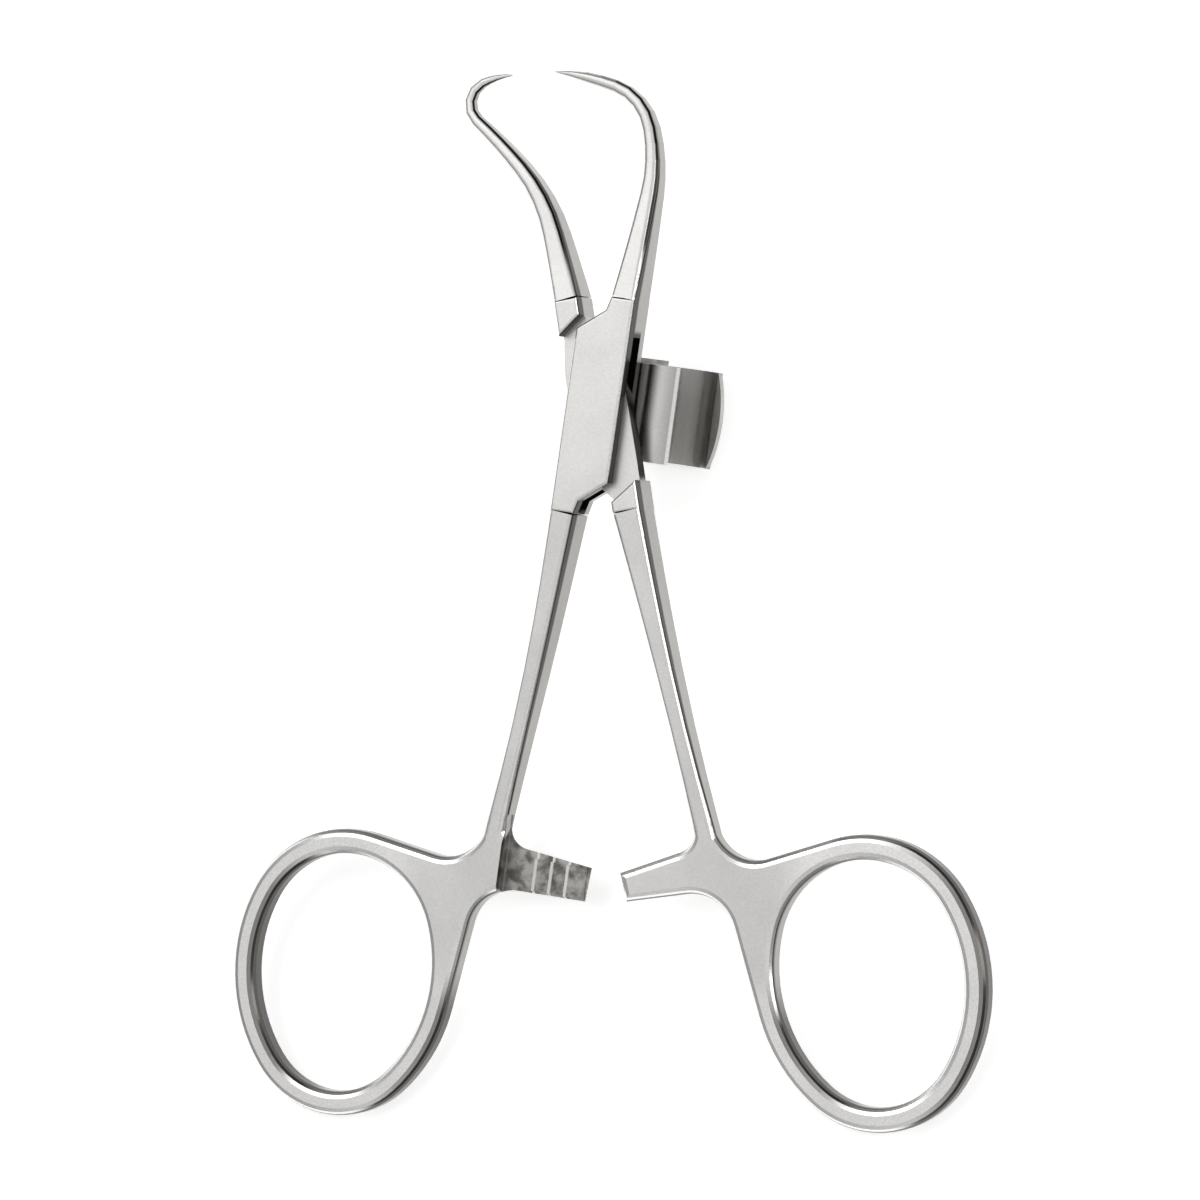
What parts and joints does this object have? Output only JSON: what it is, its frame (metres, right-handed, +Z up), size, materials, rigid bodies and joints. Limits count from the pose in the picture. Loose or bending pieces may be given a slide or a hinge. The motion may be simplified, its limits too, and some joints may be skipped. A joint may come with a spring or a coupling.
{
  "type": "towel clamp",
  "caption": "Towel clamp with ring handles, a box lock, hooked pointed jaws, a ratchet between the handles and a spring clip beside the lock that holds a tube.",
  "frame": {"origin": "bottom centre of the bounding box, on the surface the clamp lies on", "axes": "+Y from the finger rings to the jaws, the clamp's long way; +Z up from the surface it lies on, out of the front of the lock; +X to the right seen from above with the jaws away"},
  "size_m": [0.0842, 0.1084, 0.0164],
  "materials": {
    "satin_steel": "satin stainless steel, glass-bead finished flats and polished rings",
    "tongue_steel": "satin stainless steel, glass-bead finished flats and polished rings",
    "pin_steel": "stainless pin ground flush with the lock",
    "clip_steel": "satin spring steel sheet",
    "foot_steel": "satin stainless strip"
  },
  "bodies": {
    "slotted_half": {"box_half": "satin_steel", "lock_pin": "pin_steel", "tube_clip": "clip_steel", "clip_foot": "foot_steel"},
    "tongue_side": {"tongue_half": "tongue_steel"}
  },
  "joints": [
    {"name": "lock_hinge", "type": "hinge", "parent": "slotted_half", "child": "tongue_side", "pos_m": [-0.00036, 0.01964, 0.01122], "axis": [0, -0.1329, 0.9911], "range_deg": [-8, 14]}
  ]
}
